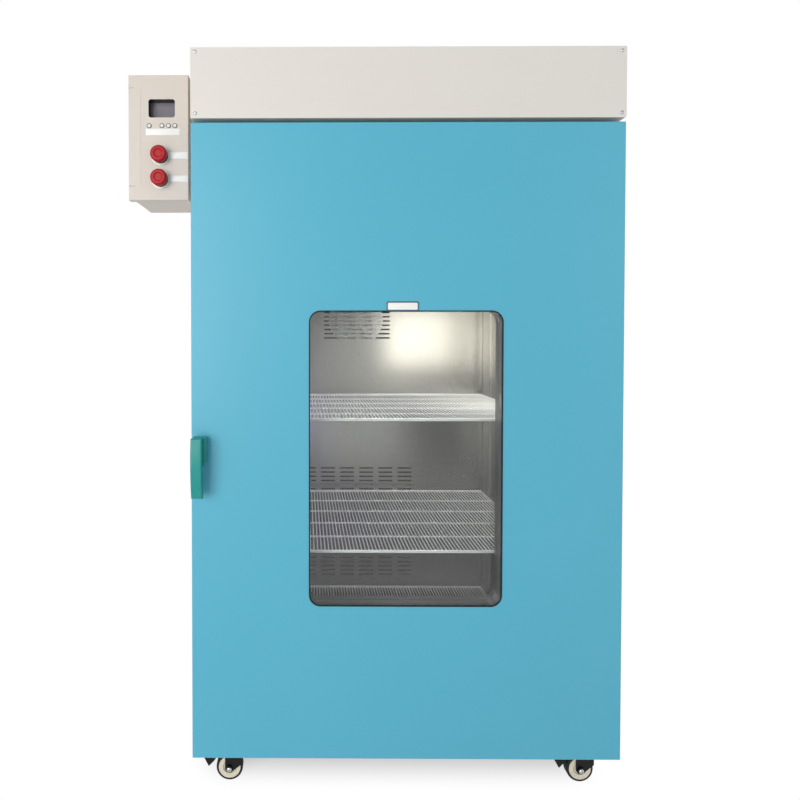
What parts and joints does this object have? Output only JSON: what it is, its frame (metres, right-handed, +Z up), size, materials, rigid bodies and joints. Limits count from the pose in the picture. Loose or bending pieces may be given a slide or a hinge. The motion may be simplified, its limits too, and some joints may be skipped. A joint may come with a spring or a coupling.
{
  "type": "drying oven",
  "caption": "Tall floor-standing laboratory drying oven on casters, with a windowed hinged door, wire shelves, header panel and side control box.",
  "frame": {"origin": "on the floor, under the middle of the whole oven with its control box and hinges", "axes": "+X to the right seen from the front, +Y to the back, +Z up"},
  "size_m": [1.181, 0.9122, 1.8103],
  "materials": {
    "cabinet_paint": "satin",
    "header_paint": "satin",
    "door_paint": "satin",
    "stainless": "brushed",
    "zinc_steel": "satin",
    "mineral_wool": "matte",
    "window_glass": "clear",
    "black_rubber": "matte",
    "silicone": "matte",
    "handle_plastic": "satin",
    "black_plastic": "matte",
    "red_plastic": "satin",
    "button_plastic": "satin",
    "black_steel": "satin",
    "cream_plastic": "satin",
    "tyre_rubber": "matte",
    "cast_motor": "satin",
    "shelf_wire": "polished",
    "display_glass": "clear"
  },
  "bodies": {
    "cabinet": {"outer_wrap": "cabinet_paint", "base_frame": "black_steel", "front_frame": "stainless", "chamber_liner": "stainless", "cabinet_wool": "mineral_wool", "back_panel": "cabinet_paint", "header_panel": "header_paint", "air_panel": "stainless", "blower_motor": "cast_motor", "motor_cover": "cabinet_paint", "heater_tubes": "zinc_steel", "temperature_probe": "stainless", "cable_gland": "black_plastic", "vent_stub": "stainless", "shelf_rack": "stainless", "control_box": "cabinet_paint", "box_spacer": "cabinet_paint", "contactor": "black_plastic", "hinge_frame_leaves": "zinc_steel", "latch_keeper": "zinc_steel", "caster_plates": "zinc_steel"},
    "door": {"door_skin": "door_paint", "door_inner": "stainless", "door_wool": "mineral_wool", "window_outer_glass": "window_glass", "window_inner_glass": "window_glass", "window_reveal": "stainless", "window_seal": "black_rubber", "door_gasket": "silicone", "hinge_door_leaves": "zinc_steel", "handle_base": "handle_plastic"},
    "handle": {"handle_lever": "handle_plastic", "latch_spindle": "zinc_steel"},
    "cover": {"control_cover": "cabinet_paint", "display_housing": "black_plastic", "display_pane": "display_glass", "button_collars": "black_plastic"},
    "push_lower": {"push_button_lower": "red_plastic"},
    "push_upper": {"push_button_upper": "red_plastic"},
    "set_1": {"set_button_1": "button_plastic"},
    "set_2": {"set_button_2": "button_plastic"},
    "set_3": {"set_button_3": "button_plastic"},
    "set_4": {"set_button_4": "button_plastic"},
    "fan": {"fan_wheel": "zinc_steel"},
    "vent": {"vent_cap": "stainless"},
    "shelf_low": {"shelf_bottom": "shelf_wire"},
    "shelf_mid": {"shelf_middle": "shelf_wire"},
    "shelf_high": {"shelf_top": "shelf_wire"},
    "swivel_front_left": {"caster_fork_front_left": "black_steel"},
    "wheel_front_left": {"caster_hub_front_left": "cream_plastic", "caster_tyre_front_left": "tyre_rubber"},
    "pedal_front_left": {"brake_pedal_front_left": "black_steel"},
    "swivel_front_right": {"caster_fork_front_right": "black_steel"},
    "wheel_front_right": {"caster_hub_front_right": "cream_plastic", "caster_tyre_front_right": "tyre_rubber"},
    "pedal_front_right": {"brake_pedal_front_right": "black_steel"},
    "swivel_rear_left": {"caster_fork_rear_left": "black_steel"},
    "wheel_rear_left": {"caster_wheel_rear_left": "tyre_rubber"},
    "swivel_rear_right": {"caster_fork_rear_right": "black_steel"},
    "wheel_rear_right": {"caster_wheel_rear_right": "tyre_rubber"}
  },
  "joints": [
    {"name": "door_swing", "type": "hinge", "parent": "cabinet", "child": "door", "pos_m": [0.5825, -0.35, 0.893], "axis": [0, 0, 1], "range_deg": [0, 110]},
    {"name": "handle_turn", "type": "hinge", "parent": "door", "child": "handle", "pos_m": [-0.405, -0.436, 0.858], "axis": [0, -1, 0], "range_deg": [0, 90]},
    {"name": "cover_swing", "type": "hinge", "parent": "cabinet", "child": "cover", "pos_m": [-0.5835, -0.309, 1.59], "axis": [0, 0, -1], "range_deg": [0, 100]},
    {"name": "fan_spin", "type": "hinge", "parent": "cabinet", "child": "fan", "pos_m": [0.0165, 0.3, 1.161], "axis": [0, 1, 0], "continuous": true},
    {"name": "vent_turn", "type": "hinge", "parent": "cabinet", "child": "vent", "pos_m": [0.2525, 0.126, 1.796], "axis": [0, 0, 1], "range_deg": [0, 45]},
    {"name": "shelf_low_slide", "type": "slide", "parent": "cabinet", "child": "shelf_low", "axis": [0, -1, 0], "range_m": [0, 0.045]},
    {"name": "shelf_mid_slide", "type": "slide", "parent": "cabinet", "child": "shelf_mid", "axis": [0, -1, 0], "range_m": [0, 0.045]},
    {"name": "shelf_high_slide", "type": "slide", "parent": "cabinet", "child": "shelf_high", "axis": [0, -1, 0], "range_m": [0, 0.045]},
    {"name": "push_lower_press", "type": "slide", "parent": "cover", "child": "push_lower", "axis": [0, 1, 0], "range_m": [0, 0.005], "stiffness_N_per_m": 600, "springref_m": -0.002},
    {"name": "push_upper_press", "type": "slide", "parent": "cover", "child": "push_upper", "axis": [0, 1, 0], "range_m": [0, 0.005], "stiffness_N_per_m": 600, "springref_m": -0.002},
    {"name": "set_1_press", "type": "slide", "parent": "cover", "child": "set_1", "axis": [0, 1, 0], "range_m": [0, 0.001], "stiffness_N_per_m": 800, "springref_m": -0.0005},
    {"name": "set_2_press", "type": "slide", "parent": "cover", "child": "set_2", "axis": [0, 1, 0], "range_m": [0, 0.001], "stiffness_N_per_m": 800, "springref_m": -0.0005},
    {"name": "set_3_press", "type": "slide", "parent": "cover", "child": "set_3", "axis": [0, 1, 0], "range_m": [0, 0.001], "stiffness_N_per_m": 800, "springref_m": -0.0005},
    {"name": "set_4_press", "type": "slide", "parent": "cover", "child": "set_4", "axis": [0, 1, 0], "range_m": [0, 0.001], "stiffness_N_per_m": 800, "springref_m": -0.0005},
    {"name": "swivel_front_left_turn", "type": "hinge", "parent": "cabinet", "child": "swivel_front_left", "pos_m": [-0.3335, -0.304, 0.077], "axis": [0, 0, 1], "continuous": true},
    {"name": "wheel_front_left_roll", "type": "hinge", "parent": "swivel_front_left", "child": "wheel_front_left", "pos_m": [-0.3515, -0.304, 0.033], "axis": [0, 1, 0], "continuous": true},
    {"name": "pedal_front_left_press", "type": "hinge", "parent": "swivel_front_left", "child": "pedal_front_left", "pos_m": [-0.3385, -0.304, 0.0687], "axis": [0, -1, 0], "range_deg": [0, 5]},
    {"name": "swivel_front_right_turn", "type": "hinge", "parent": "cabinet", "child": "swivel_front_right", "pos_m": [0.5385, -0.304, 0.077], "axis": [0, 0, 1], "continuous": true},
    {"name": "wheel_front_right_roll", "type": "hinge", "parent": "swivel_front_right", "child": "wheel_front_right", "pos_m": [0.5205, -0.304, 0.033], "axis": [0, 1, 0], "continuous": true},
    {"name": "pedal_front_right_press", "type": "hinge", "parent": "swivel_front_right", "child": "pedal_front_right", "pos_m": [0.5335, -0.304, 0.0687], "axis": [0, -1, 0], "range_deg": [0, 5]},
    {"name": "swivel_rear_left_turn", "type": "hinge", "parent": "cabinet", "child": "swivel_rear_left", "pos_m": [-0.3335, 0.336, 0.077], "axis": [0, 0, 1], "continuous": true},
    {"name": "wheel_rear_left_roll", "type": "hinge", "parent": "swivel_rear_left", "child": "wheel_rear_left", "pos_m": [-0.3515, 0.336, 0.033], "axis": [0, 1, 0], "continuous": true},
    {"name": "swivel_rear_right_turn", "type": "hinge", "parent": "cabinet", "child": "swivel_rear_right", "pos_m": [0.5385, 0.336, 0.077], "axis": [0, 0, 1], "continuous": true},
    {"name": "wheel_rear_right_roll", "type": "hinge", "parent": "swivel_rear_right", "child": "wheel_rear_right", "pos_m": [0.5205, 0.336, 0.033], "axis": [0, 1, 0], "continuous": true}
  ]
}
